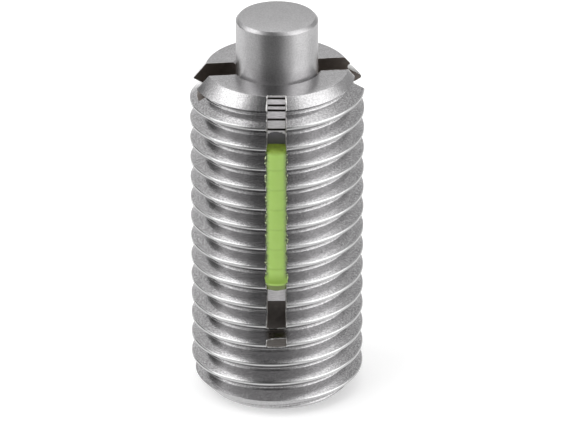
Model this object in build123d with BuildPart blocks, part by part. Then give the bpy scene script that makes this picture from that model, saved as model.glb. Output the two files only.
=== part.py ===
from build123d import *
import math
import os

os.makedirs("parts", exist_ok=True)

# Driving sizes in millimetres. The origin is the centre of the rear face, +Z runs to the nose,
# and the locking strip faces -Y.

# Threaded sleeve
thread_diameter = 16.0
thread_pitch = 2.0
thread_depth = 1.227
thread_root_width = 0.33
thread_crest_width = 0.25
strip_side_crest_z = 1.45
body_length = 32.0
front_chamfer_width = 1.5
front_chamfer_length = 1.8
rear_chamfer_width = 1.55
rear_chamfer_length = 1.7
spring_bore_diameter = 10.4
guide_length = 6.0
bore_mouth_break = 0.32

# Driver slot across the front face
slot_width = 2.7
slot_depth = 2.5
slot_turn = 6.5

# Milled groove for the locking strip, measured from the crests and from the front face
groove_width = 1.86
groove_floor_width = 1.6
groove_depth = 1.7
groove_flat_length = 20.75
groove_cutter_radius = 5.56
nick_setbacks = (0.25, 0.95, 1.45, 2.35, 3.35)
nick_width = 0.22
nick_depth = 0.16

# Locking strip
strip_length = 13.93
strip_setback = 4.77
strip_stand_out = 0.27
strip_edge_drop = 0.32
strip_end_round = 0.5
strip_bulge = 0.185
strip_bulge_floor = 0.24

# Thrust pin
nose_diameter = 7.5
nose_stand_out = 5.0
nose_chamfer = 0.3
collar_length = 4.0
spigot_length = 3.0
pin_edge_break = 0.3

# Compression spring
spring_wire = 1.4
spring_active_coils = 5.0
spring_closed_coils = 1.0
spring_closed_gap = 0.08

# Socket plug and the lip rolled over its edge
plug_length = 5.8
plug_sink = 0.12
plug_edge_chamfer = 0.7
plug_ring_width = 0.5
plug_dish_depth = 0.55
hex_across_flats = 5.0
crimp_offset = 0.1
crimp_width = 0.5
crimp_depth = 0.22

# Clearances, on the radius where the fit is round
guide_clearance = 0.03
collar_clearance = 0.2
collar_seat_clearance = 0.02
spring_bore_clearance = 0.3
spring_seat_clearance = 0.02
spigot_clearance = 0.7
plug_clearance = 0.02
strip_clearance = 0.02
strip_bulge_clearance = 0.1

# Sizes worked out from the driving ones
thread_radius = thread_diameter / 2
root_radius = thread_radius - thread_depth
guide_radius = nose_diameter / 2 + guide_clearance
spring_bore_radius = spring_bore_diameter / 2
ring_radius = spring_bore_radius - plug_edge_chamfer
collar_radius = spring_bore_radius - collar_clearance
coil_radius = spring_bore_radius - spring_bore_clearance - spring_wire / 2
spigot_radius = coil_radius - spring_wire / 2 - spigot_clearance
groove_floor_radius = thread_radius - groove_depth
shoulder_z = body_length - guide_length
collar_front_z = shoulder_z - collar_seat_clearance
collar_rear_z = collar_front_z - collar_length
spigot_end_z = collar_rear_z - spigot_length
nose_tip_z = body_length + nose_stand_out
plug_front_z = plug_sink + plug_length
spring_rear_z = plug_front_z + spring_seat_clearance
spring_front_z = collar_rear_z - spring_seat_clearance
strip_front_z = body_length - strip_setback
strip_rear_z = strip_front_z - strip_length


def thread_groove_half_width(radius):
    """Half the width of the thread groove along the axis, where it crosses a radius."""
    crest_half = (thread_pitch - thread_crest_width) / 2
    root_half = thread_root_width / 2
    return root_half + (crest_half - root_half) * (radius - root_radius) / thread_depth


def strip_groove_half_width(radius):
    """Half the width of the strip groove, whose walls open a little from the floor to the crests."""
    widening = (groove_width - groove_floor_width) / 2
    return groove_floor_width / 2 + widening * (radius - groove_floor_radius) / groove_depth


# Cutter for the strip groove: it enters from the front, leaves in the arc of its own disc,
# and its walls taper towards the floor
groove_flat_end_z = body_length - groove_flat_length
groove_top = thread_radius + thread_pitch
cutter_drop = groove_cutter_radius - (groove_top - groove_floor_radius)
run_out_end_z = groove_flat_end_z - math.sqrt(groove_cutter_radius**2 - cutter_drop**2)

with BuildPart() as groove_cutter:
    with BuildSketch(Plane.YZ):
        with BuildLine():
            Polyline(
                (-groove_top, run_out_end_z),
                (-groove_top, body_length + thread_pitch),
                (-groove_floor_radius, body_length + thread_pitch),
                (-groove_floor_radius, groove_flat_end_z),
            )
            RadiusArc(
                (-groove_floor_radius, groove_flat_end_z),
                (-groove_top, run_out_end_z),
                groove_cutter_radius,
            )
        make_face()
    extrude(amount=groove_width, both=True)
    with BuildSketch(Plane.XY):
        Polygon(
            (-strip_groove_half_width(groove_floor_radius), -groove_floor_radius),
            (strip_groove_half_width(groove_floor_radius), -groove_floor_radius),
            (strip_groove_half_width(groove_top), -groove_top),
            (-strip_groove_half_width(groove_top), -groove_top),
            align=None,
        )
    extrude(amount=body_length + thread_pitch, mode=Mode.INTERSECT)

# Threaded sleeve: bored from the rear, with a thick front end that guides the pin
lip_radius = ring_radius + plug_clearance
lip_cone_z = plug_sink + plug_edge_chamfer - 2 * plug_clearance

with BuildPart() as threaded_body:
    with BuildSketch(Plane.XZ):
        with BuildLine():
            Polyline(
                (lip_radius, 0),
                (thread_radius - rear_chamfer_width, 0),
                (thread_radius, rear_chamfer_length),
                (thread_radius, body_length - front_chamfer_length),
                (thread_radius - front_chamfer_width, body_length),
                (guide_radius + bore_mouth_break, body_length),
                (guide_radius, body_length - bore_mouth_break),
                (guide_radius, shoulder_z),
                (spring_bore_radius, shoulder_z),
                (spring_bore_radius, lip_cone_z),
                (lip_radius, lip_cone_z - (spring_bore_radius - lip_radius)),
                close=True,
            )
        make_face()
    revolve(axis=Axis.Z)

    # Crimping groove that rolled the lip over the plug
    with BuildSketch(Plane.XZ):
        with Locations((spring_bore_radius + crimp_offset, 0)):
            Polygon(
                (-crimp_width / 2, 0),
                (crimp_width / 2, 0),
                (0, crimp_depth),
                align=None,
            )
    revolve(axis=Axis.Z, mode=Mode.SUBTRACT)

    # Right-hand thread, cut one turn at a time, each turn starting on the +X side.
    # The cutter stands a little clear of the crests.
    cutter_radius = thread_radius + thread_pitch / 20
    turns_before_face = 1.25
    groove_start_z = strip_side_crest_z - turns_before_face * thread_pitch
    turn_count = math.ceil((body_length - groove_start_z) / thread_pitch) + 1
    for turn in range(-1, turn_count):
        turn_z = groove_start_z + turn * thread_pitch
        with BuildLine():
            groove_path = Helix(
                pitch=thread_pitch,
                height=thread_pitch,
                radius=thread_radius,
                center=(0, 0, turn_z),
            )
        with BuildSketch(Plane.XZ):
            with Locations((0, turn_z)):
                Polygon(
                    (root_radius, -thread_root_width / 2),
                    (cutter_radius, -thread_groove_half_width(cutter_radius)),
                    (cutter_radius, thread_groove_half_width(cutter_radius)),
                    (root_radius, thread_root_width / 2),
                    align=None,
                )
        sweep(path=groove_path, is_frenet=True, mode=Mode.SUBTRACT)

    # Driver slot
    slot_plane = Plane.XY.offset(body_length - slot_depth).rotated((0, 0, slot_turn))
    with BuildSketch(slot_plane):
        Rectangle(thread_diameter + thread_pitch, slot_width)
    extrude(amount=slot_depth + bore_mouth_break, mode=Mode.SUBTRACT)

    # Groove for the locking strip
    add(groove_cutter.part, mode=Mode.SUBTRACT)

    # Tool nicks across the groove floor near the front face
    with BuildSketch(Plane.XZ.offset(groove_floor_radius - nick_depth)):
        with Locations(*[(0, body_length - setback) for setback in nick_setbacks]):
            Rectangle(groove_floor_width, nick_width)
    extrude(amount=nick_depth, mode=Mode.SUBTRACT)

threaded_body.part.label = "threaded_body"
export_step(threaded_body.part, "parts/threaded_body.step")

# Thrust pin: nose, collar that stops on the shoulder, spigot that centres the spring
with BuildPart() as thrust_pin:
    with BuildSketch(Plane.XZ):
        with BuildLine():
            Polyline(
                (0, spigot_end_z),
                (spigot_radius - pin_edge_break, spigot_end_z),
                (spigot_radius, spigot_end_z + pin_edge_break),
                (spigot_radius, collar_rear_z),
                (collar_radius - pin_edge_break, collar_rear_z),
                (collar_radius, collar_rear_z + pin_edge_break),
                (collar_radius, collar_front_z - pin_edge_break),
                (collar_radius - pin_edge_break, collar_front_z),
                (nose_diameter / 2, collar_front_z),
                (nose_diameter / 2, nose_tip_z - nose_chamfer),
                (nose_diameter / 2 - nose_chamfer, nose_tip_z),
                (0, nose_tip_z),
                close=True,
            )
        make_face()
    revolve(axis=Axis.Z)

thrust_pin.part.label = "thrust_pin"
export_step(thrust_pin.part, "parts/thrust_pin.step")

# Compression spring: round wire, the end coils closed and ground flat to half the wire
closed_height = spring_closed_coils * (spring_wire + spring_closed_gap)
active_height = spring_front_z - spring_rear_z - 2 * closed_height

with BuildPart() as compression_spring:
    coil_runs = (
        (spring_rear_z, closed_height, spring_closed_coils),
        (spring_rear_z + closed_height, active_height, spring_active_coils),
        (spring_front_z - closed_height, closed_height, spring_closed_coils),
    )
    for run_base, run_height, run_coils in coil_runs:
        with BuildLine():
            coil_path = Helix(
                pitch=run_height / run_coils,
                height=run_height,
                radius=coil_radius,
                center=(0, 0, run_base),
            )
        with BuildSketch(Plane(origin=coil_path @ 0, z_dir=coil_path % 0)):
            Circle(spring_wire / 2)
        sweep(path=coil_path, is_frenet=True)
    split(bisect_by=Plane.XY.offset(spring_rear_z), keep=Keep.TOP)
    split(bisect_by=Plane.XY.offset(spring_front_z), keep=Keep.BOTTOM)

compression_spring.part.label = "compression_spring"
export_step(compression_spring.part, "parts/compression_spring.step")

# Socket plug: closes the spring bore and takes the hexagon key
plug_radius = spring_bore_radius - plug_clearance

with BuildPart() as socket_plug:
    with BuildSketch(Plane.XZ):
        with BuildLine():
            Polyline(
                (0, plug_sink + plug_dish_depth),
                (hex_across_flats / 2, plug_sink + plug_dish_depth),
                (ring_radius - plug_ring_width, plug_sink),
                (ring_radius, plug_sink),
                (plug_radius, plug_sink + plug_radius - ring_radius),
                (plug_radius, plug_front_z),
                (0, plug_front_z),
                close=True,
            )
        make_face()
    revolve(axis=Axis.Z)
    with BuildSketch(Plane.XY):
        RegularPolygon(hex_across_flats / 2, 6, major_radius=False)
    extrude(amount=plug_front_z, mode=Mode.SUBTRACT)

socket_plug.part.label = "socket_plug"
export_step(socket_plug.part, "parts/socket_plug.step")

# Locking strip: a bar pressed into the milled groove, swollen sideways in each thread groove
bulge_half_width = groove_width / 2 + strip_bulge
strip_base = groove_floor_radius + strip_clearance
strip_top = thread_radius + strip_stand_out
strip_edge = strip_top - strip_edge_drop
strip_base_half = strip_groove_half_width(strip_base) - strip_clearance
strip_edge_half = strip_groove_half_width(strip_edge) - strip_clearance
bulge_floor = root_radius + strip_bulge_floor
floor_half = thread_groove_half_width(bulge_floor) - strip_bulge_clearance
edge_half = thread_groove_half_width(strip_edge) - strip_bulge_clearance

with BuildPart() as strip_swelling:
    with BuildSketch(Plane.YZ):
        Polygon(
            (-bulge_floor, -floor_half),
            (-bulge_floor, floor_half),
            (-strip_edge, edge_half),
            (-strip_edge, -edge_half),
            align=None,
        )
    extrude(amount=bulge_half_width, both=True)
    with BuildSketch(Plane.XZ):
        Polygon(
            (bulge_half_width, floor_half),
            (strip_edge_half, edge_half),
            (-strip_edge_half, edge_half),
            (-bulge_half_width, floor_half),
            (-bulge_half_width, -floor_half),
            (-strip_edge_half, -edge_half),
            (strip_edge_half, -edge_half),
            (bulge_half_width, -floor_half),
            align=None,
        )
    extrude(amount=thread_radius, mode=Mode.INTERSECT)

with BuildPart() as locking_strip:
    with BuildSketch(Plane.XY.offset(strip_rear_z)):
        with BuildLine():
            Polyline(
                (-strip_edge_half, -strip_edge),
                (-strip_base_half, -strip_base),
                (strip_base_half, -strip_base),
                (strip_edge_half, -strip_edge),
            )
            ThreePointArc(
                (strip_edge_half, -strip_edge),
                (0, -strip_top),
                (-strip_edge_half, -strip_edge),
            )
        make_face()
    extrude(amount=strip_length)
    fillet(locking_strip.edges().filter_by(GeomType.CIRCLE), strip_end_round)
    valley_z = strip_side_crest_z + thread_pitch / 2
    while valley_z < strip_front_z - edge_half:
        if valley_z > strip_rear_z + edge_half:
            with Locations((0, 0, valley_z)):
                add(strip_swelling.part)
        valley_z += thread_pitch

locking_strip.part.label = "locking_strip"
export_step(locking_strip.part, "parts/locking_strip.step")
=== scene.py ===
import math
import random

import bmesh
import bpy
from mathutils import Matrix, Vector, noise


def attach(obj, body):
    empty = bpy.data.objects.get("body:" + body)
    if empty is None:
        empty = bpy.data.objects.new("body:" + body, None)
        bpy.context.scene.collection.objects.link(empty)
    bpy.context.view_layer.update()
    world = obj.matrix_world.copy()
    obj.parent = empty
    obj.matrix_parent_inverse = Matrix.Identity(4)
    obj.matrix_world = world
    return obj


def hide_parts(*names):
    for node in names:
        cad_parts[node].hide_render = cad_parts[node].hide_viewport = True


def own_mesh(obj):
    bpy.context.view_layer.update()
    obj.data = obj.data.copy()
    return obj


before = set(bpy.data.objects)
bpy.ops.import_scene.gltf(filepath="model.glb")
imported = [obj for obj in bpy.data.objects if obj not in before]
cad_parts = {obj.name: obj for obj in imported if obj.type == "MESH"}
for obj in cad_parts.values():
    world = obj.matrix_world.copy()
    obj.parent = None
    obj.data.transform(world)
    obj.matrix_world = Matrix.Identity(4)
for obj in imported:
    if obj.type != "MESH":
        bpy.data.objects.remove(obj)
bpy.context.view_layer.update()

# Threaded sleeve
# One stainless steel tube. Its outside thread is rolled, its ends and bores are turned, and a
# disc cutter mills the driver slot and the groove for the locking strip.
MM = 0.001
thread_radius = 8.0
thread_pitch = 2.0
thread_depth = 1.227
crest_width = 0.25
root_width = 0.33
crest_rounding = 0.085
root_rounding = 0.16
strip_side_crest_z = 1.45
steps_per_turn = 128
body_length = 32.0
front_chamfer_width = 1.5
front_chamfer_length = 1.8
rear_chamfer_width = 1.55
rear_chamfer_length = 1.7
rim_break = 0.05
guide_radius = 3.78
guide_length = 6.0
bore_mouth_break = 0.32
spring_bore_radius = 5.2
lip_radius = 4.52
lip_thickness = 0.1
crimp_offset = 0.1
crimp_width = 0.5
crimp_depth = 0.22
slot_width = 2.7
slot_depth = 2.5
slot_turn = math.radians(6.5)
groove_width = 1.86
groove_floor_width = 1.6
groove_floor_radius = 6.3
groove_flat_end_z = 11.25
groove_cutter_radius = 5.56
nick_setbacks = (0.25, 0.95, 1.45, 2.35, 3.35)
nick_width = 0.22
nick_depth = 0.16
burr_step = 0.11
root_radius = thread_radius - thread_depth
run_out_mark = (0, -7.1, 8.2)
slot_end_mark = (6.9, 2.9, 30.7)
cutter_overshoot = 1
weld_distance = 0.001
plane_tolerance = 0.00001


def srgb(code):
    """A hex colour as the linear red, green, blue and alpha that a shader takes."""
    linear = []
    for start in (0, 2, 4):
        value = int(code[start:start + 2], 16) / 255
        linear.append(value / 12.92 if value <= 0.04045 else ((value + 0.055) / 1.055) ** 2.4)
    return (*linear, 1.0)


def new_material(name):
    material = bpy.data.materials.new(name)
    material.use_nodes = True
    material.node_tree.nodes.clear()
    return material


def add_node(material, kind, inputs, **settings):
    """Adds a shader node with its settings. Each input is linked, or set to a number or a hex colour."""
    node = material.node_tree.nodes.new("ShaderNode" + kind)
    for name, value in settings.items():
        setattr(node, name, value)
    for name, value in inputs.items():
        if isinstance(value, bpy.types.NodeSocket):
            material.node_tree.links.new(value, node.inputs[name])
        else:
            node.inputs[name].default_value = srgb(value) if isinstance(value, str) else value
    return node


def axis_distance(material, place):
    """How far a point of the surface is from the Z axis, in metres."""
    flat = add_node(material, "VectorMath", {0: place, 1: (1, 1, 0)}, operation="MULTIPLY")
    return add_node(material, "VectorMath", {0: flat.outputs[0]}, operation="LENGTH").outputs["Value"]


def turning_lines(material, place, line_spacing, line_length):
    """Fine lines around the Z axis, as a lathe tool or a rolling die leaves them, with their spacing
    and length in millimetres."""
    flat = add_node(material, "VectorMath", {0: place, 1: (1, 1, 0)}, operation="MULTIPLY")
    around = add_node(material, "VectorMath", {0: flat.outputs[0]}, operation="NORMALIZE")
    spread = add_node(material, "VectorMath", {0: around.outputs[0], "Scale": thread_radius / line_length},
                      operation="SCALE")
    height = add_node(material, "SeparateXYZ", {"Vector": place}).outputs["Z"]
    across = add_node(material, "Math", {0: axis_distance(material, place), 1: height}, operation="ADD")
    lines = add_node(material, "Math", {0: across.outputs[0], 1: 1 / (line_spacing * MM)},
                     operation="MULTIPLY")
    lift = add_node(material, "CombineXYZ", {"Z": lines.outputs[0]})
    vector = add_node(material, "VectorMath", {0: spread.outputs[0], 1: lift.outputs[0]}, operation="ADD")
    streaks = add_node(material, "TexNoise", {"Vector": vector.outputs[0], "Scale": 1.0, "Detail": 3.0})
    return streaks.outputs["Fac"]


def grain(material, place, size, detail=2.0):
    """An even grain whose spots are about the given size in millimetres."""
    spots = add_node(material, "TexNoise", {"Vector": place, "Scale": 1 / (size * MM), "Detail": detail})
    return spots.outputs["Fac"]


def cutter_scratches(material, place, width, length):
    """Straight scratches along X, of about the given width and length in millimetres."""
    stretched = add_node(material, "Mapping", {"Vector": place, "Scale": (width / length, 1.0, 1.0)})
    return grain(material, stretched.outputs["Vector"], width)


def clouded(material, place, size, dark, light):
    """Two tones of a colour in soft clouds of about the given size in millimetres."""
    mix = add_node(material, "Mix", {0: grain(material, place, size), 6: dark, 7: light}, data_type="RGBA")
    return mix.outputs[2]


def tinted(material, colour, tint, measure, start, end, strength=1.0):
    """Goes from a colour to a tint, up to its strength, as a measure goes from its start to its end."""
    share = add_node(material, "MapRange", {"Value": measure, "From Min": start, "From Max": end,
                                            "To Max": strength}).outputs["Result"]
    return add_node(material, "Mix", {0: share, 6: colour, 7: tint}, data_type="RGBA").outputs[2]


def marked_spot(material, place, colour, mark, centre, reach):
    """Marks a colour around a point, out to a reach that the mark fades towards, in millimetres."""
    away = add_node(material, "VectorMath", {0: place, 1: [value * MM for value in centre]},
                    operation="DISTANCE")
    return tinted(material, colour, mark, away.outputs["Value"], reach * MM, 0.55 * reach * MM)


def finish_surface(material, inputs, reliefs=()):
    """Adds the shader. A relief is a pattern and how far it raises the surface, in millimetres."""
    normal = {}
    for pattern, height in reliefs:
        raised = add_node(material, "Bump", {"Height": pattern, "Distance": height * MM, "Strength": 1.0,
                                             **normal})
        normal = {"Normal": raised.outputs["Normal"]}
    shader = add_node(material, "BsdfPrincipled", {**inputs, **normal})
    add_node(material, "OutputMaterial", {"Surface": shader.outputs["BSDF"]})
    return material


def steel_surface(material, colour, roughness, reliefs, metallic=1.0):
    return finish_surface(material, {"Base Color": colour, "Metallic": metallic, "Roughness": roughness},
                          reliefs)


def rolled_steel():
    """Stainless steel formed by rolling dies: a satin with fine lines along the thread and a sandy
    speckle, polished where the dies pressed the crests. Painted highlight makes it lighter towards
    its sides, where the speckle is also stronger. It is darker around a point beside the groove's
    run-out, and has a coarse dark grain at the slot's right end."""
    material = new_material("rolled_stainless_thread")
    place = add_node(material, "TexCoord", {}).outputs["Object"]
    across = add_node(material, "SeparateXYZ", {"Vector": place}).outputs["X"]
    sideways = add_node(material, "Math", {0: across}, operation="ABSOLUTE").outputs[0]
    radius = axis_distance(material, place)
    lines = turning_lines(material, place, line_spacing=0.07, line_length=5.0)
    fine = grain(material, place, 0.14, detail=1.0)
    # Painted highlight: the thread steel turns lighter from 4 to 7.5 mm off the middle, towards its sides,
    # and its sandy speckle grows stronger there.
    painted_highlight_start, painted_highlight_end = 4 * MM, 7.5 * MM
    crest_foot, crest_top = 7.86 * MM, 7.99 * MM
    sandy = add_node(material, "MapRange", {"Value": sideways, "From Min": painted_highlight_start, "From Max": painted_highlight_end,
                                            "To Min": 0.55, "To Max": 0.8}).outputs["Result"]
    steel = clouded(material, place, 1.6, "C1C0C1", "D2D1D2")
    steel = tinted(material, steel, "DCDBDC", sideways, painted_highlight_start, painted_highlight_end)
    steel = tinted(material, steel, "858485", fine, 0.3, 0.7, sandy)
    steel = tinted(material, steel, "DCDCDC", radius, crest_foot, crest_top)
    # Darker brown-grey around a point beside the groove's run-out.
    steel = marked_spot(material, place, steel, "5E5853", run_out_mark, 1.25)
    # Darker, with a coarse near-black grain, around a point at the slot's right end.
    torn = tinted(material, "1E1D1C", "8A8886", grain(material, place, 0.3), 0.4, 0.6)
    steel = marked_spot(material, place, steel, torn, slot_end_mark, 2.4)
    satin = add_node(material, "MapRange", {"Value": lines, "From Min": 0.3, "From Max": 0.7,
                                            "To Min": 0.21, "To Max": 0.26}).outputs["Result"]
    polish = add_node(material, "MapRange", {"Value": radius, "From Min": crest_foot, "From Max": crest_top,
                                             "To Max": -0.08}).outputs["Result"]
    roughness = add_node(material, "Math", {0: satin, 1: polish}, operation="ADD").outputs[0]
    return steel_surface(material, steel, roughness, ((lines, 0.001), (fine, 0.0065)))


def turned_steel():
    """Stainless steel cut on a lathe and tumbled: grey satin with faint rings and a sandy grain."""
    material = new_material("turned_stainless")
    place = add_node(material, "TexCoord", {}).outputs["Object"]
    lines = turning_lines(material, place, line_spacing=0.06, line_length=9.0)
    fine = grain(material, place, 0.12, detail=1.0)
    steel = clouded(material, place, 0.8, "C2C1C2", "D2D1D2")
    steel = tinted(material, steel, "929192", fine, 0.3, 0.7, 0.5)
    roughness = add_node(material, "MapRange", {"Value": lines, "From Min": 0.3, "From Max": 0.7,
                                                "To Min": 0.21, "To Max": 0.27}).outputs["Result"]
    return steel_surface(material, steel, roughness, ((lines, 0.001), (fine, 0.004)))


def milled_steel(name, dark, light, roughness, metallic=1.0):
    """Stainless steel cut by a disc cutter: fine straight scratches, in soft clouds of two given tones."""
    material = new_material(name)
    place = add_node(material, "TexCoord", {}).outputs["Object"]
    scratches = cutter_scratches(material, place, 0.08, 0.4)
    colour = clouded(material, place, 0.5, dark, light)
    return steel_surface(material, colour, roughness, ((scratches, 0.003),), metallic)


def run_out_steel():
    """The hollow that the disc cutter left as it came out, and the nicks: painted shade in dark
    brown-grey, paler towards its end.
    """
    material = new_material("run_out_painted_shade")
    place = add_node(material, "TexCoord", {}).outputs["Object"]
    scratches = cutter_scratches(material, place, 0.12, 0.6)
    # Painted shade: dark brown-grey deep in the hollow, paler as it rises to the surface.
    deep = clouded(material, place, 0.5, "4E4A47", "706A66")
    pale = tinted(material, "7E7976", "ACA6A2", scratches, 0.0, 1.0)
    colour = tinted(material, deep, pale, axis_distance(material, place), 6.6 * MM, 7.4 * MM)
    return steel_surface(material, colour, 0.4, ((scratches, 0.004),))


def milled_floor():
    """The pale matt floor of the groove, with cutter scratches across it. Beside the strip's front
    end a painted dark reflection of the strip's end covers it, up to a curved and ragged edge."""
    material = new_material("pale_milled_floor")
    place = add_node(material, "TexCoord", {}).outputs["Object"]
    scratches = cutter_scratches(material, place, 0.09, 0.6)
    axes = add_node(material, "SeparateXYZ", {"Vector": place})
    painted_reflection_edge_z = 28.61
    painted_reflection_blur = 0.06
    painted_reflection_curve = 400.0
    square = add_node(material, "Math", {0: axes.outputs["X"], 1: axes.outputs["X"]}, operation="MULTIPLY")
    curved = add_node(material, "Math", {0: square.outputs[0], 1: painted_reflection_curve, 2: axes.outputs["Z"]},
                      operation="MULTIPLY_ADD")
    ragged = add_node(material, "Math", {0: grain(material, place, 0.25), 1: 0.3 * MM, 2: curved.outputs[0]},
                      operation="MULTIPLY_ADD")
    front_half = add_node(material, "MapRange", {"Value": axes.outputs["Z"], "From Min": 20 * MM,
                                                 "From Max": 21 * MM}).outputs["Result"]
    pale = tinted(material, "CDCBCE", "F2F0F2", scratches, 0.3, 0.7)
    # Painted reflection: dark grey for the strip's front end, mirrored in the floor's front half.
    colour = tinted(material, pale, "6E6C72", ragged.outputs[0], (painted_reflection_edge_z + painted_reflection_blur) * MM,
                    (painted_reflection_edge_z - painted_reflection_blur) * MM, front_half)
    return steel_surface(material, colour, 0.55, ((scratches, 0.004),), metallic=0.35)


def new_piece(name, bm, *materials):
    """Makes an object from a mesh modelled in millimetres. Its place is in its mesh, in metres."""
    bmesh.ops.recalc_face_normals(bm, faces=bm.faces)
    bmesh.ops.scale(bm, vec=(MM, MM, MM), verts=bm.verts)
    mesh = bpy.data.meshes.new(name)
    bm.to_mesh(mesh)
    bm.free()
    for material in materials:
        mesh.materials.append(material)
    piece = bpy.data.objects.new(name, mesh)
    bpy.context.collection.objects.link(piece)
    return piece


def turn_profile(outline, steps, rounded, rounding):
    """Spins an outline of (radius, height) points about the Z axis, with the numbered corners rounded."""
    bm = bmesh.new()
    corners = [bm.verts.new((radius, 0, height)) for radius, height in outline]
    on_axis = outline[0][0] == 0
    for start, end in zip(corners, corners[1:] + ([] if on_axis else corners[:1])):
        bm.edges.new((start, end))
    bmesh.ops.bevel(bm, geom=[corners[number] for number in rounded], offset=rounding, segments=3,
                    profile=0.5, affect="VERTICES", material=-1)
    bmesh.ops.spin(bm, geom=bm.verts[:] + bm.edges[:], cent=(0, 0, 0), axis=(0, 0, 1), angle=math.tau,
                   steps=steps, use_merge=True)
    bmesh.ops.remove_doubles(bm, verts=bm.verts, dist=weld_distance)
    return bm


def cut(piece, tool, operation="DIFFERENCE"):
    """Cuts one solid with another, which leaves its own material on the faces that it makes."""
    modifier = piece.modifiers.new("cut", "BOOLEAN")
    modifier.object = tool
    modifier.operation = operation
    modifier.solver = "MANIFOLD"
    modifier.material_mode = "TRANSFER"
    graph = bpy.context.evaluated_depsgraph_get()
    mesh = bpy.data.meshes.new_from_object(piece.evaluated_get(graph))
    piece.modifiers.clear()
    piece.data = mesh
    bpy.data.objects.remove(tool)


def smooth_shading(piece, sharp_angle):
    """Shades a piece smoothly, apart from its edges between materials and those over the angle."""
    bm = bmesh.new()
    bm.from_mesh(piece.data)
    for face in bm.faces:
        face.smooth = True
    for edge in bm.edges:
        one, other = edge.link_faces
        edge.smooth = one.material_index == other.material_index and edge.calc_face_angle() < sharp_angle
    bm.to_mesh(piece.data)
    bm.free()


def threaded_bar():
    """A bar with the thread all along it, sawn a little too long: one turn of the thread, stacked up."""
    bm = bmesh.new()
    saw_allowance = 0.4
    crest_start = (thread_pitch - crest_width) / 2
    turns_to_strip_side = 0.75
    groove_start_z = strip_side_crest_z - (turns_to_strip_side + 0.5) * thread_pitch
    turn_outline = (
        (root_radius, 0),
        (root_radius, root_width / 2),
        (thread_radius, crest_start),
        (thread_radius, thread_pitch - crest_start),
        (root_radius, thread_pitch - root_width / 2),
        (root_radius, thread_pitch),
    )
    first_z = groove_start_z - thread_pitch
    points = [bm.verts.new((radius, 0, first_z + height)) for radius, height in turn_outline]
    for pair in zip(points, points[1:]):
        bm.edges.new(pair)
    roots = [points[1], points[4]]
    bmesh.ops.bevel(bm, geom=points[2:4], offset=crest_rounding, segments=4, profile=0.5,
                    affect="VERTICES", material=-1)
    bmesh.ops.bevel(bm, geom=roots, offset=root_rounding, segments=5, profile=0.5,
                    affect="VERTICES", material=-1)
    bmesh.ops.spin(bm, geom=bm.verts[:] + bm.edges[:], cent=(0, 0, 0), axis=(0, 0, 1),
                   dvec=(0, 0, thread_pitch / steps_per_turn), angle=math.tau, steps=steps_per_turn)
    one_turn = bm.verts[:] + bm.edges[:] + bm.faces[:]
    turns = math.ceil((body_length + saw_allowance - first_z) / thread_pitch)
    for turn in range(1, turns):
        copied = bmesh.ops.duplicate(bm, geom=one_turn)["geom"]
        raised = [part for part in copied if isinstance(part, bmesh.types.BMVert)]
        bmesh.ops.translate(bm, vec=(0, 0, turn * thread_pitch), verts=raised)
    bmesh.ops.remove_doubles(bm, verts=bm.verts, dist=weld_distance)
    for height, outwards in ((-saw_allowance, -1), (body_length + saw_allowance, 1)):
        everything = bm.verts[:] + bm.edges[:] + bm.faces[:]
        sawn = bmesh.ops.bisect_plane(bm, geom=everything, dist=plane_tolerance, plane_co=(0, 0, height),
                                      plane_no=(0, 0, outwards), clear_outer=True)["geom_cut"]
        bmesh.ops.contextual_create(bm, geom=[edge for edge in sawn if isinstance(edge, bmesh.types.BMEdge)])
    return bm


def turned_blank():
    """The sleeve as the lathe leaves it, standing clear of the thread between its two chamfers."""
    clear = 0.5
    lip_cone = spring_bore_radius - lip_radius
    crimp_middle = spring_bore_radius + crimp_offset
    outline = (
        (lip_radius, 0),
        (crimp_middle - crimp_width / 2, 0),
        (crimp_middle, crimp_depth),
        (crimp_middle + crimp_width / 2, 0),
        (thread_radius - rear_chamfer_width, 0),
        (thread_radius + clear, rear_chamfer_length * (1 + clear / rear_chamfer_width)),
        (thread_radius + clear, body_length - front_chamfer_length * (1 + clear / front_chamfer_width)),
        (thread_radius - front_chamfer_width, body_length),
        (guide_radius + bore_mouth_break, body_length),
        (guide_radius, body_length - bore_mouth_break),
        (guide_radius, body_length - guide_length),
        (spring_bore_radius, body_length - guide_length),
        (spring_bore_radius, lip_thickness + lip_cone),
        (lip_radius, lip_thickness),
    )
    return turn_profile(outline, steps_per_turn, rounded=(1, 3, 4, 7, 8), rounding=rim_break)


def slot_cutter():
    """A block as wide as the driver slot, which reaches past the thread and the front face."""
    bm = bmesh.new()
    bmesh.ops.create_cube(bm, size=2)
    half_length = thread_radius + cutter_overshoot
    bmesh.ops.scale(bm, vec=(half_length, slot_width / 2, slot_depth), verts=bm.verts)
    bmesh.ops.rotate(bm, cent=(0, 0, 0), matrix=Matrix.Rotation(slot_turn, 3, "Z"), verts=bm.verts)
    bmesh.ops.translate(bm, vec=(0, 0, body_length), verts=bm.verts)
    return bm


def groove_half_width(radius):
    """Half the groove's width at a radius. Its walls lean out from the floor to the crests."""
    share = (radius - groove_floor_radius) / (thread_radius - groove_floor_radius)
    return (groove_floor_width + (groove_width - groove_floor_width) * share) / 2


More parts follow.
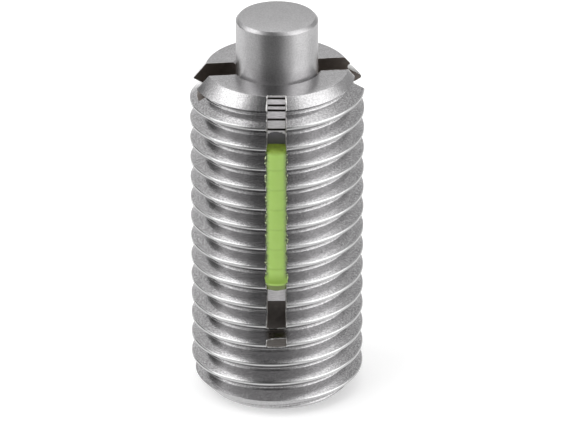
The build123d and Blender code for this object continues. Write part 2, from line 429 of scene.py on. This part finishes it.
def groove_cutter(first_z, last_z, run_out):
    """The space that the disc cutter sweeps along the -Y side. Its rear end is the disc's own arc,
    or is cut off flat."""
    top_radius = thread_radius + cutter_overshoot
    bm = bmesh.new()
    corners = ((-top_radius, last_z), (-groove_floor_radius, last_z), (-groove_floor_radius, first_z))
    outline = [bm.verts.new((0, y, z)) for y, z in corners]
    for pair in zip(outline, outline[1:]):
        bm.edges.new(pair)
    if run_out:
        rise = top_radius - groove_floor_radius
        sweep = math.acos(1 - rise / groove_cutter_radius)
        arc = bmesh.ops.spin(bm, geom=[outline[-1]], axis=(-1, 0, 0), angle=sweep, steps=24,
                             cent=(0, -groove_floor_radius - groove_cutter_radius, first_z))["geom_last"]
        last = next(part for part in arc if isinstance(part, bmesh.types.BMVert))
    else:
        last = bm.verts.new((0, -top_radius, first_z))
        bm.edges.new((outline[-1], last))
    bm.edges.new((last, outline[0]))
    face = bmesh.ops.contextual_create(bm, geom=bm.edges[:])["faces"]
    far = bmesh.ops.extrude_face_region(bm, geom=face)["geom"]
    right = [part for part in far if isinstance(part, bmesh.types.BMVert)]
    left = [vert for vert in bm.verts if vert not in right]
    for side, verts in ((1, right), (-1, left)):
        for vert in verts:
            vert.co.x = side * groove_half_width(-vert.co.y)
    return bm


def nick_cutter(setback):
    """A flat bar that leaves one nick across the groove's floor, behind the front face."""
    bm = bmesh.new()
    bmesh.ops.create_cube(bm, size=2)
    bmesh.ops.scale(bm, vec=(groove_floor_width / 2, nick_depth, nick_width / 2), verts=bm.verts)
    bmesh.ops.translate(bm, vec=(0, -groove_floor_radius, body_length - setback), verts=bm.verts)
    return bm


def part_off_walls(piece, wall_finish):
    """Gives the groove's two side walls their own finish."""
    least_sideways = 0.7
    piece.data.materials.append(wall_finish)
    cutter_finishes = [piece.data.materials.find(finish.name) for finish in (floor_finish, run_out_finish)]
    for face in piece.data.polygons:
        if face.material_index in cutter_finishes and abs(face.normal.x) > least_sideways:
            face.material_index = len(piece.data.materials) - 1


def chains_of_edges(edges):
    """Sorts edges into chains of points that follow each other, in the same order at every run."""
    ends = {}
    for edge in sorted(edges, key=lambda edge: sorted(vert.co[:] for vert in edge.verts)):
        for vert in sorted(edge.verts, key=lambda vert: vert.co[:]):
            ends.setdefault(vert, []).append(edge)
    left = dict.fromkeys(edges)
    starts = [vert for vert in ends if len(ends[vert]) != 2] + list(ends)
    chains = []
    for start in starts:
        for first in ends[start]:
            if first not in left:
                continue
            chain, edge = [start], first
            while edge in left:
                del left[edge]
                chain.append(edge.other_vert(chain[-1]))
                onward = [other for other in ends[chain[-1]] if other in left]
                if len(ends[chain[-1]]) == 2 and onward:
                    edge = onward[0]
            chains.append([vert.co.copy() for vert in chain])
    return chains


def even_steps(chain, step):
    """Divides a chain of points so that no step is longer than the given one."""
    points = [chain[0]]
    for start, end in zip(chain, chain[1:]):
        parts = max(1, math.ceil((end - start).length / step))
        points += [start.lerp(end, part / parts) for part in range(1, parts + 1)]
    return points


def raise_burrs(piece, outer_finishes, cutter_finishes, thickness, outwards, curled_share, seed):
    """Runs a thin broken burr along the edges that a cutter left in the outside, and joins it on.
    The share that curled over is thicker. Thickness and outward shift are in millimetres, and a
    width is a multiple of the thickness."""
    chance = random.Random(seed)
    first_width = 0.8
    width_change = 0.6
    largest_width = 1.4
    curled_width = 2.4
    shake = 0.4
    names = [finish.name for finish in piece.data.materials]
    outer = [names.index(finish.name) for finish in outer_finishes]
    cutter = [names.index(finish.name) for finish in cutter_finishes]
    bm = bmesh.new()
    bm.from_mesh(piece.data)
    edges = []
    for edge in bm.edges:
        sides = [face.material_index for face in edge.link_faces]
        if any(side in outer for side in sides) and any(side in cutter for side in sides):
            edges.append(edge)
    curve = bpy.data.curves.new("burrs", "CURVE")
    curve.dimensions = "3D"
    curve.bevel_depth = thickness * MM
    curve.bevel_resolution = 1
    curve.use_fill_caps = True
    for chain in chains_of_edges(edges):
        points = even_steps(chain, burr_step * MM)
        spline = curve.splines.new("POLY")
        spline.points.add(len(points) - 1)
        width = first_width
        for point, place in zip(spline.points, points):
            width = min(largest_width, max(0.0, width + chance.uniform(-width_change, width_change)))
            if chance.random() < curled_share:
                width = curled_width
            aside = Vector((math.copysign(outwards * MM, place.x), 0, 0))
            shift = Vector(chance.uniform(-shake, shake) * thickness * MM for _ in range(3))
            point.co = (*(place + aside + shift), 1.0)
            point.radius = width
    holder = bpy.data.objects.new("burrs", curve)
    bpy.context.collection.objects.link(holder)
    graph = bpy.context.evaluated_depsgraph_get()
    burrs = bpy.data.meshes.new_from_object(holder.evaluated_get(graph))
    bpy.data.objects.remove(holder)
    for face in burrs.polygons:
        face.material_index = names.index(burr_finish.name)
        face.use_smooth = True
    bm.from_mesh(burrs)
    bm.to_mesh(piece.data)
    bm.free()


thread_finish = rolled_steel()
turned_finish = turned_steel()
# A brown-grey milled steel for the slot and the hexagon socket.
slot_finish = milled_steel("brown_grey_milled_steel", "7E7671", "A29A94", roughness=0.38)
floor_finish = milled_floor()
wall_finish = milled_steel("milled_groove_wall", "8C8987", "AAA7A5", roughness=0.5, metallic=0.3)
run_out_finish = run_out_steel()
burr_finish = milled_steel("bright_burr_steel", "DEDCDA", "F0EFEE", roughness=0.3)
sleeve = new_piece("sleeve", threaded_bar(), thread_finish)
cut(sleeve, new_piece("blank", turned_blank(), turned_finish), "INTERSECT")
cut(sleeve, new_piece("slot_tool", slot_cutter(), slot_finish))
groove_space = groove_cutter(groove_flat_end_z, body_length + cutter_overshoot, run_out=False)
cut(sleeve, new_piece("groove_tool", groove_space, floor_finish))
run_out_space = groove_cutter(groove_flat_end_z, groove_flat_end_z + weld_distance, run_out=True)
cut(sleeve, new_piece("run_out_tool", run_out_space, run_out_finish))
# The nicks take the run-out's painted shade, as dark lines.
for setback in nick_setbacks:
    cut(sleeve, new_piece("nick_tool", nick_cutter(setback), run_out_finish))
part_off_walls(sleeve, wall_finish)
smooth_shading(sleeve, math.radians(32))
sleeve.data.materials.append(burr_finish)
raise_burrs(sleeve, (turned_finish,), (floor_finish, wall_finish, run_out_finish),
            thickness=0.038, outwards=0.03, curled_share=0.1, seed=5)
raise_burrs(sleeve, (thread_finish,), (floor_finish, wall_finish),
            thickness=0.022, outwards=0.02, curled_share=0.05, seed=7)
raise_burrs(sleeve, (thread_finish,), (run_out_finish,),
            thickness=0.042, outwards=0.03, curled_share=0.05, seed=8)
raise_burrs(sleeve, (turned_finish, thread_finish), (slot_finish,),
            thickness=0.022, outwards=0, curled_share=0.0, seed=6)
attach(sleeve, "sleeve")
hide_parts("threaded_body")

# Thrust pin
# A stainless steel pin, turned and ground: the nose slides in the guide bore, the collar stops
# on the shoulder inside, and the spigot behind it holds the spring in the middle.
nose_radius = 3.75
nose_tip_z = 37.0
nose_chamfer = 0.3
collar_radius = 5.0
collar_front_z = 25.98
collar_rear_z = 21.98
spigot_radius = 2.8
spigot_end_z = 18.98
pin_edge_break = 0.3


def ground_steel():
    """Ground stainless steel: a fine even satin with faint rings, a little duller than the sleeve."""
    material = new_material("ground_stainless")
    place = add_node(material, "TexCoord", {}).outputs["Object"]
    lines = turning_lines(material, place, line_spacing=0.05, line_length=6.0)
    fine = grain(material, place, 0.14, detail=1.0)
    steel = clouded(material, place, 1.2, "BFBEBF", "CBCACB")
    steel = tinted(material, steel, "929192", fine, 0.3, 0.7, 0.4)
    roughness = add_node(material, "MapRange", {"Value": lines, "From Min": 0.3, "From Max": 0.7,
                                                "To Min": 0.29, "To Max": 0.37}).outputs["Result"]
    return steel_surface(material, steel, roughness, ((lines, 0.0015), (fine, 0.003)))


pin_outline = (
    (0, spigot_end_z),
    (spigot_radius - pin_edge_break, spigot_end_z),
    (spigot_radius, spigot_end_z + pin_edge_break),
    (spigot_radius, collar_rear_z),
    (collar_radius - pin_edge_break, collar_rear_z),
    (collar_radius, collar_rear_z + pin_edge_break),
    (collar_radius, collar_front_z - pin_edge_break),
    (collar_radius - pin_edge_break, collar_front_z),
    (nose_radius, collar_front_z),
    (nose_radius, nose_tip_z - nose_chamfer),
    (nose_radius - nose_chamfer, nose_tip_z),
    (0, nose_tip_z),
)
pin_finish = ground_steel()
pin_shape = turn_profile(pin_outline, steps_per_turn, rounded=(9, 10), rounding=0.05)
pin = new_piece("pin", pin_shape, pin_finish)
smooth_shading(pin, math.radians(28))
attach(pin, "pin")
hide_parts("thrust_pin")

# Compression spring
# Coiled from round spring wire, with its end coils closed and ground flat. It stands between the
# plug and the pin's collar, and shortens as the nose is pressed in.
spring_wire_radius = 0.7
coil_radius = 4.2
spring_rear_z = 5.94
spring_front_z = 21.96
active_coils = 5
closed_coil_rise = 1.48
coil_steps = 48


def drawn_wire():
    """Drawn stainless spring wire: darker than the machined pieces, with fine draw lines."""
    material = new_material("drawn_spring_wire")
    place = add_node(material, "TexCoord", {}).outputs["Object"]
    lines = turning_lines(material, place, line_spacing=0.08, line_length=12.0)
    colour = tinted(material, "8E8B88", "A8A5A2", lines, 0.0, 1.0)
    return steel_surface(material, colour, 0.3, ((lines, 0.002),))


def coiled_wire():
    """The wire's round section, spun into one closed coil, the open coils and a last closed one."""
    bm = bmesh.new()
    active_rise = spring_front_z - spring_rear_z - 2 * closed_coil_rise
    bmesh.ops.create_circle(bm, segments=16, radius=spring_wire_radius)
    bmesh.ops.rotate(bm, cent=(0, 0, 0), matrix=Matrix.Rotation(math.pi / 2, 3, "X"), verts=bm.verts)
    bmesh.ops.translate(bm, vec=(coil_radius, 0, spring_rear_z), verts=bm.verts)
    wire_end = bm.verts[:] + bm.edges[:]
    for coils, rise in ((1, closed_coil_rise), (active_coils, active_rise), (1, closed_coil_rise)):
        steps = coils * coil_steps
        wire_end = bmesh.ops.spin(bm, geom=wire_end, cent=(0, 0, 0), axis=(0, 0, 1), angle=coils * math.tau,
                                  dvec=(0, 0, rise / steps), steps=steps)["geom_last"]
    for height, outwards in ((spring_rear_z, -1), (spring_front_z, 1)):
        everything = bm.verts[:] + bm.edges[:] + bm.faces[:]
        bmesh.ops.bisect_plane(bm, geom=everything, dist=plane_tolerance, plane_co=(0, 0, height),
                               plane_no=(0, 0, outwards), clear_outer=True)
    bmesh.ops.holes_fill(bm, edges=[edge for edge in bm.edges if edge.is_boundary])
    return bm


spring = new_piece("spring", coiled_wire(), drawn_wire())
smooth_shading(spring, math.radians(40))
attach(spring, "sleeve")
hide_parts("compression_spring")
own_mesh(spring)

# Socket plug
# A turned stainless disc with a hexagon socket. It closes the bore behind the spring, and the
# sleeve's rear lip is rolled over its edge.
plug_radius = 5.18
plug_ring_radius = 4.5
plug_ring_width = 0.5
plug_sink = 0.12
plug_dish_depth = 0.55
plug_front_z = 5.92
hex_across_flats = 5.0

plug_outline = (
    (0, plug_sink + plug_dish_depth),
    (hex_across_flats / 2, plug_sink + plug_dish_depth),
    (plug_ring_radius - plug_ring_width, plug_sink),
    (plug_ring_radius, plug_sink),
    (plug_radius, plug_sink + plug_radius - plug_ring_radius),
    (plug_radius, plug_front_z),
    (0, plug_front_z),
)


def hexagon_cutter():
    """A hexagon bar that reaches through the plug."""
    bm = bmesh.new()
    corner_radius = hex_across_flats / 2 / math.cos(math.pi / 6)
    bmesh.ops.create_cone(bm, cap_ends=True, segments=6, radius1=corner_radius, radius2=corner_radius,
                          depth=2 * plug_front_z)
    return bm


plug_shape = turn_profile(plug_outline, steps=96, rounded=(2, 3, 5), rounding=0.08)
plug = new_piece("plug", plug_shape, turned_finish)
cut(plug, new_piece("hexagon_tool", hexagon_cutter(), slot_finish))
smooth_shading(plug, math.radians(28))
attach(plug, "sleeve")
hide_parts("socket_plug")

# Locking strip
# A bar of green nylon pressed into the milled groove. It stands a little proud of the crests and
# swells sideways into each thread groove, so that it grips the tapped hole.
strip_front_z = 27.23
strip_rear_z = 13.15
strip_stand_out = 0.27
strip_edge_drop = 0.32
strip_front_round = 0.65
strip_rear_round = 0.4
strip_corner_cut = 0.3
strip_clearance = 0.02
strip_bulge = 0.13
strip_bulge_fade = 0.9
strip_bulge_unevenness = 0.35
strip_end_fade = 0.6
strip_station_step = 0.05
rear_dip_start_z = 15.0
rear_ridge_z = 13.86
rear_dip_depth = 0.03
rear_dip_slope_share = 0.85
strip_edge_roughness = 0.07
strip_edge_start = 7.2
strip_edge_fade = 0.5
crest_dent = 0.03
crest_dent_reach = 0.22


def pressed_side(material, place, axes, facing):
    """The strip's body: a cloudy green, with painted shade on its right side, and greyer where the
    groove's edges pinched it. A painted shadow outlines its edges, and bright torn glints follow them;
    neither is on the side walls."""
    across = axes.outputs["X"]
    side = add_node(material, "Math", {0: across}, operation="ABSOLUTE").outputs[0]
    ragged = add_node(material, "Math", {0: grain(material, place, 0.22), 1: 0.3 * MM, 2: side},
                      operation="MULTIPLY_ADD").outputs[0]
    sideways = add_node(material, "SeparateXYZ", {"Vector": facing}).outputs["X"]
    wall = add_node(material, "Math", {0: sideways}, operation="ABSOLUTE").outputs[0]
    wall_start, wall_end = 0.95, 0.985
    # How strongly the painted shadow outline shows: full along the top edges, weak on the side walls.
    outline = add_node(material, "MapRange", {"Value": wall, "From Min": wall_start, "From Max": wall_end,
                                              "To Min": 0.95, "To Max": 0.24}).outputs["Result"]
    off_walls = add_node(material, "MapRange", {"Value": wall, "From Min": wall_start, "From Max": wall_end,
                                                "To Min": 0.9, "To Max": 0.0}).outputs["Result"]
    glints = add_node(material, "MapRange", {"Value": side, "From Min": 0.88 * MM, "From Max": 0.94 * MM,
                                             "To Max": off_walls}).outputs["Result"]
    green = clouded(material, place, 0.9, "98BB57", "A3C364")
    # Painted shade: darker towards the right side, from 0.3 to 0.8 mm off the middle.
    green = tinted(material, green, "84A649", across, 0.3 * MM, 0.8 * MM, 0.6)
    green = tinted(material, green, "6E7A50", ragged, 0.76 * MM, 1.0 * MM, 0.75)
    # Painted shadow: a dark olive line along the edges, where the strip meets the steel.
    green = tinted(material, green, "2E3718", ragged, 0.99 * MM, 1.07 * MM, outline)
    return tinted(material, green, "E4EEC0", grain(material, place, 0.16), 0.57, 0.62, glints)


def crest_lines(material, green, height):
    """A faint darker line across the strip at each of the thread's crests: painted shade in the dent
    that each crest pressed.
    """
    dent = add_node(material, "Math", {0: height, 1: (strip_side_crest_z + thread_pitch / 2) * MM,
                                       2: (strip_side_crest_z - thread_pitch / 2) * MM}, operation="WRAP")
    above = add_node(material, "Math", {0: dent.outputs[0], 1: strip_side_crest_z * MM}, operation="SUBTRACT")
    away = add_node(material, "Math", {0: above.outputs[0]}, operation="ABSOLUTE").outputs[0]
    # Painted shade in each crest's dent.
    return tinted(material, green, "80A046", away, 0.16 * MM, 0.02 * MM, 0.3)


def strip_ends(material, place, green, height):
    """The sawn and mottled front end, in a painted olive shade, and the rear end with painted shade: a
    dark band before its ridge, and darker again past it.
    """
    radius = axis_distance(material, place)
    # Painted shade: the front end is olive, with painted light making it lighter towards the groove's floor
    # against the shade there, and a mottle.
    sawn = tinted(material, "9CB442", "8AA642", radius, 6.6 * MM, 8.15 * MM)
    sawn = tinted(material, sawn, "65782C", grain(material, place, 0.5), 0.45, 0.7, 0.5)
    green = tinted(material, green, sawn, height, (strip_front_z - 0.35) * MM, (strip_front_z - 0.1) * MM)
    # Painted shade: a dark band on the slope before the rear ridge.
    before_ridge = add_node(material, "MapRange", {
        "Value": height, "From Min": (rear_ridge_z + 0.06) * MM,
        "From Max": (rear_ridge_z + 0.14) * MM}).outputs["Result"]
    green = tinted(material, green, "82A23A", height, rear_dip_start_z * MM, (rear_ridge_z + 0.3) * MM,
                   before_ridge)
    # Painted shade past the rear ridge, where the end turns down.
    return tinted(material, green, "68753F", height, (rear_ridge_z - 0.04) * MM, (rear_ridge_z - 0.1) * MM)


def green_nylon():
    """Cast green nylon, a little translucent: a soft gloss, a painted olive shade at the cut ends, and
    paler and greyer where the groove's edges squeezed it."""
    material = new_material("pressed_green_nylon")
    coordinates = add_node(material, "TexCoord", {})
    place = coordinates.outputs["Object"]
    axes = add_node(material, "SeparateXYZ", {"Vector": place})
    height = axes.outputs["Z"]
    green = pressed_side(material, place, axes, coordinates.outputs["Normal"])
    green = crest_lines(material, green, height)
    green = strip_ends(material, place, green, height)
    marks = cutter_scratches(material, place, 0.3, 1.0)
    return finish_surface(material, {"Base Color": green, "Roughness": 0.42, "Subsurface Weight": 0.15,
                                     "Subsurface Radius": (0.4, 0.6, 0.15), "Subsurface Scale": 0.6 * MM},
                          ((marks, 0.01),))


def crest_distance(height):
    """How far a height on the strip's side is from the nearest crest of the thread."""
    return abs((height - strip_side_crest_z + thread_pitch / 2) % thread_pitch - thread_pitch / 2)


def thread_surface(height):
    """The radius of the thread's surface on the strip's side, at a height."""
    flank = (crest_distance(height) - crest_width / 2) / (thread_pitch / 2 - crest_width / 2 - root_width / 2)
    return thread_radius - thread_depth * min(1, max(0, flank))


def eased(share):
    """A share held between 0 and 1 that starts and ends gently."""
    share = min(1, max(0, share))
    return share * share * (3 - 2 * share)


def top_drop(x, z, edge_half):
    """How much lower the strip's top lies at its rounded ends, before its rear ridge and where each
    crest dented it."""
    drop = 0
    corner = strip_corner_cut * abs(x / edge_half) ** 3
    for from_end, rounding in ((strip_front_z - z - corner, strip_front_round),
                               (z - strip_rear_z - corner, strip_rear_round)):
        if from_end < rounding:
            drop += rounding - math.sqrt(rounding ** 2 - (rounding - max(0, from_end)) ** 2)
    if rear_ridge_z < z < rear_dip_start_z:
        run = (rear_dip_start_z - z) / (rear_dip_start_z - rear_ridge_z)
        rise = (run - rear_dip_slope_share) / (1 - rear_dip_slope_share)
        drop += rear_dip_depth * (eased(run / rear_dip_slope_share) - eased(rise))
    return drop + crest_dent * (1 - eased(crest_distance(z) / crest_dent_reach))


def press_into_groove(bm, base, top, edge_half):
    """Lowers the bar's top, and lets its sides swell over the thread's flanks between the crests, with
    slightly torn edges. Noise makes both uneven, and its scales are per millimetre."""
    uneven_scale = 1.3
    uneven_stretch = 1.7
    torn_scale = 2.6
    torn_sides_apart = 3
    for vert in bm.verts:
        x, outwards, z = vert.co.x, -vert.co.y, vert.co.z
        vert.co.y += top_drop(x, z, edge_half) * (outwards - base) / (top - base)
        free = eased((outwards - thread_surface(z)) / strip_bulge_fade)
        uneven = 1 + strip_bulge_unevenness * noise.noise(Vector((x, 0, z * uneven_stretch)) * uneven_scale)
        from_end = eased(min(strip_front_z - z, z - strip_rear_z) / strip_end_fade)
        vert.co.x = x * (1 + strip_bulge * free * uneven * from_end / edge_half)
        torn = noise.noise(Vector((math.copysign(torn_sides_apart, x), 0, z * torn_scale)))
        at_edge = eased((outwards - strip_edge_start) / strip_edge_fade)
        vert.co.x += x / edge_half * strip_edge_roughness * torn * at_edge


def strip_bar():
    """The strip's domed section, drawn out to its length in short steps and pressed into shape."""
    wall_cuts = 9
    dome_steps = 16
    top = thread_radius + strip_stand_out
    edge = top - strip_edge_drop
    base = groove_floor_radius + strip_clearance
    base_half = groove_half_width(base) - strip_clearance
    edge_half = groove_half_width(edge) - strip_clearance
    bm = bmesh.new()
    corners = [bm.verts.new((x, y, strip_rear_z)) for x, y in (
        (-edge_half, -edge), (-base_half, -base), (base_half, -base), (edge_half, -edge))]
    for pair in zip(corners, corners[1:]):
        bm.edges.new(pair)
    dome_radius = (edge_half ** 2 + strip_edge_drop ** 2) / (2 * strip_edge_drop)
    dome_angle = 2 * math.asin(edge_half / dome_radius)
    bmesh.ops.spin(bm, geom=[corners[-1]], cent=(0, -top + dome_radius, strip_rear_z), axis=(0, 0, -1),
                   angle=dome_angle, steps=dome_steps)
    bmesh.ops.remove_doubles(bm, verts=bm.verts, dist=weld_distance)
    walls = [side for side in bm.edges if abs(side.verts[0].co.y - side.verts[1].co.y) > (edge - base) / 2]
    bmesh.ops.subdivide_edges(bm, edges=walls, cuts=wall_cuts)
    length = strip_front_z - strip_rear_z
    stations = round(length / strip_station_step)
    ring = bm.edges[:]
    for _ in range(stations):
        grown = bmesh.ops.extrude_edge_only(bm, edges=ring)["geom"]
        raised = [part for part in grown if isinstance(part, bmesh.types.BMVert)]
        bmesh.ops.translate(bm, vec=(0, 0, length / stations), verts=raised)
        ring = [part for part in grown if isinstance(part, bmesh.types.BMEdge)]
    bmesh.ops.holes_fill(bm, edges=[edge for edge in bm.edges if edge.is_boundary])
    press_into_groove(bm, base, top, edge_half)
    return bm


strip = new_piece("strip", strip_bar(), green_nylon())
smooth_shading(strip, math.radians(50))
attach(strip, "sleeve")
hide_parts("locking_strip")

# Studio
# A pale floor board glows a little, so that the shadow stays faint, and soft lights fall on it and on
# the nylon. The steel mirrors a round light tent with lit panels and black cloths, and a white card
# under the part, which show in reflections only.
floor_half_width = 3000
floor_bm = bmesh.new()
bmesh.ops.create_grid(floor_bm, x_segments=1, y_segments=1, size=floor_half_width)
floor_paint = finish_surface(new_material("glowing_white_board"), {
    "Base Color": "FAFAFA", "Roughness": 0.9, "Emission Color": "FFFFFF", "Emission Strength": 0.25})
floor = new_piece("floor", floor_bm, floor_paint)
floor.visible_glossy = False

light_aim = Vector((0, 0, 18 * MM))


def studio_direction(azimuth, elevation):
    """A unit vector from the object. Azimuth 0 points to the camera's side, and 90 to its right."""
    a, e = math.radians(azimuth), math.radians(elevation)
    return Vector((math.sin(a) * math.cos(e), -math.cos(a) * math.cos(e), math.sin(e)))


def softbox(name, azimuth, elevation, distance, width, height, brightness):
    """A rectangular light turned to the object, which neither the camera nor the steel sees. Its
    power grows with its area. Distance and size are in metres."""
    away = studio_direction(azimuth, elevation)
    data = bpy.data.lights.new(name, "AREA")
    data.shape = "RECTANGLE"
    data.size = width
    data.size_y = height
    data.energy = brightness * math.pi * width * height
    light = bpy.data.objects.new(name, data)
    light.location = light_aim + away * distance
    light.rotation_euler = away.to_track_quat("Z", "Y").to_euler()
    light.visible_camera = False
    light.visible_glossy = False
    bpy.context.collection.objects.link(light)


softbox("softbox_left", -70, 35, 0.5, 0.6, 0.6, 1.3)
softbox("softbox_right", 75, 30, 0.5, 0.6, 0.6, 0.4)
softbox("softbox_above", 100, 74, 0.5, 0.4, 0.4, 0.5)
softbox("softbox_behind", -155, 35, 0.5, 0.8, 0.5, 0.3)
softbox("floor_lamp", 0, 90, 1.182, 2.0, 2.0, 0.25)

tent_radius = 600
tent_brightness = 0.65
lit_panels = (
    # azimuth, elevation, half width, half height and soft edge in degrees, and added brightness
    (-88, 52, 26, 16, 6, 1.5),      # high on the left
    (-90, 14, 20, 24, 10, 0.85),    # low on the left
    (74, 32, 34, 22, 10, 1.4),      # on the right
    (76, 66, 30, 12, 6, 1.0),       # high on the right
    (176, 48, 44, 10, 8, 0.72),     # high behind
    (154, -12, 110, 8, 4, 1.0),     # a low band from the right around the back to the left
)
black_cloths = (
    # the same angles, and the share of the light that the cloth takes away
    (-12, 22, 32, 52, 10, 0.8),     # in front, around the camera
    (-50, 74, 44, 14, 8, 0.9),      # overhead, to the front and left
    (-114, 4, 22, 14, 6, 1.0),      # low, behind the left side
    (120, 12, 28, 40, 12, 0.3),     # thin cloth behind the right side
)


def tent_cloth():
    """White tent cloth, lit more where the panels are and dark where black cloth hangs inside."""
    material = new_material("light_tent_cloth")
    place = add_node(material, "TexCoord", {}).outputs["Object"]
    axes = add_node(material, "SeparateXYZ", {"Vector": place})
    ahead = add_node(material, "Math", {0: axes.outputs["Y"], 1: -1.0}, operation="MULTIPLY")
    azimuth = add_node(material, "Math", {0: axes.outputs["X"], 1: ahead.outputs[0]}, operation="ARCTAN2")
    sine = add_node(material, "Math", {0: axes.outputs["Z"], 1: 1 / (tent_radius * MM)}, operation="MULTIPLY")
    elevation = add_node(material, "Math", {0: sine.outputs[0]}, operation="ARCSINE")

    def panel(middle, height, half_width, half_height, edge):
        """1 inside a panel, and 0 outside its soft edge."""
        turned = add_node(material, "Math", {0: azimuth.outputs[0], 1: math.radians(middle)},
                          operation="SUBTRACT")
        around = add_node(material, "Math", {0: turned.outputs[0], 1: math.pi, 2: -math.pi}, operation="WRAP")
        raised = add_node(material, "Math", {0: elevation.outputs[0], 1: math.radians(height)},
                          operation="SUBTRACT")
        shares = []
        for offset, half in ((around, half_width), (raised, half_height)):
            away = add_node(material, "Math", {0: offset.outputs[0]}, operation="ABSOLUTE")
            shares.append(add_node(material, "MapRange", {
                "Value": away.outputs[0], "From Min": math.radians(half - edge),
                "From Max": math.radians(half + edge), "To Min": 1.0, "To Max": 0.0},
                interpolation_type="SMOOTHSTEP").outputs["Result"])
        return add_node(material, "Math", {0: shares[0], 1: shares[1]}, operation="MULTIPLY").outputs[0]

    level = tent_brightness
    for *angles, brightness in lit_panels:
        level = add_node(material, "Math", {0: panel(*angles), 1: brightness, 2: level},
                         operation="MULTIPLY_ADD").outputs[0]
    for *angles, share in black_cloths:
        passed = add_node(material, "Math", {0: panel(*angles), 1: -share, 2: 1.0}, operation="MULTIPLY_ADD")
        level = add_node(material, "Math", {0: level, 1: passed.outputs[0]}, operation="MULTIPLY").outputs[0]
    glow = add_node(material, "Emission", {"Strength": level})
    add_node(material, "OutputMaterial", {"Surface": glow.outputs[0]})
    return material


def show_in_reflections_only(piece):
    """Hides a studio piece from the camera, from matt surfaces and from shadows."""
    piece.visible_camera = False
    piece.visible_diffuse = False
    piece.visible_shadow = False


tent_bm = bmesh.new()
bmesh.ops.create_uvsphere(tent_bm, u_segments=48, v_segments=24, radius=tent_radius)
tent = new_piece("light_tent", tent_bm, tent_cloth())
tent.location = light_aim
show_in_reflections_only(tent)

card_radius = 50
card_full_radius = 10
card_clear_radius = 45
card_sink = 0.3


def card_glow():
    """White card that glows under the part, and fades to clear before its rim."""
    material = new_material("white_card_glow")
    place = add_node(material, "TexCoord", {}).outputs["Object"]
    reach = add_node(material, "MapRange", {
        "Value": axis_distance(material, place), "From Min": card_clear_radius * MM,
        "From Max": card_full_radius * MM})
    clear = add_node(material, "BsdfTransparent", {})
    glow = add_node(material, "Emission", {"Strength": 0.8})
    mix = add_node(material, "MixShader", {0: reach.outputs["Result"], 1: clear.outputs["BSDF"],
                                           2: glow.outputs["Emission"]})
    add_node(material, "OutputMaterial", {"Surface": mix.outputs[0]})
    return material


card_bm = bmesh.new()
bmesh.ops.create_circle(card_bm, cap_ends=True, radius=card_radius, segments=48)
bmesh.ops.translate(card_bm, vec=(0, 0, -card_sink), verts=card_bm.verts)
card = new_piece("white_card", card_bm, card_glow())
show_in_reflections_only(card)

world = bpy.data.worlds.new("studio")
bpy.context.scene.world = world
world.use_nodes = True
backdrop = world.node_tree.nodes["Background"]
backdrop.inputs["Color"].default_value = srgb("FFFFFF")
backdrop.inputs["Strength"].default_value = 0.5
world.cycles_visibility.glossy = False
bpy.context.scene.view_settings.view_transform = "Standard"

# Camera
# It looks down from 26.5 degrees above the floor, a little to the right of the groove, through a
# long lens.
camera_azimuth = 0.4
camera_elevation = 26.5
camera_distance = 450 * MM
camera_target = Vector((0.407 * MM, 0, 16.596 * MM))
focal_pixels = 4868
image_width = 563
camera_data = bpy.data.cameras.new("camera")
camera_data.lens = camera_data.sensor_width * focal_pixels / image_width
camera_data.clip_start = 0.01
camera_data.clip_end = 20
camera = bpy.data.objects.new("camera", camera_data)
camera_away = studio_direction(camera_azimuth, camera_elevation)
camera.location = camera_target + camera_away * camera_distance
camera.rotation_euler = camera_away.to_track_quat("Z", "Y").to_euler()
bpy.context.collection.objects.link(camera)
bpy.context.scene.camera = camera
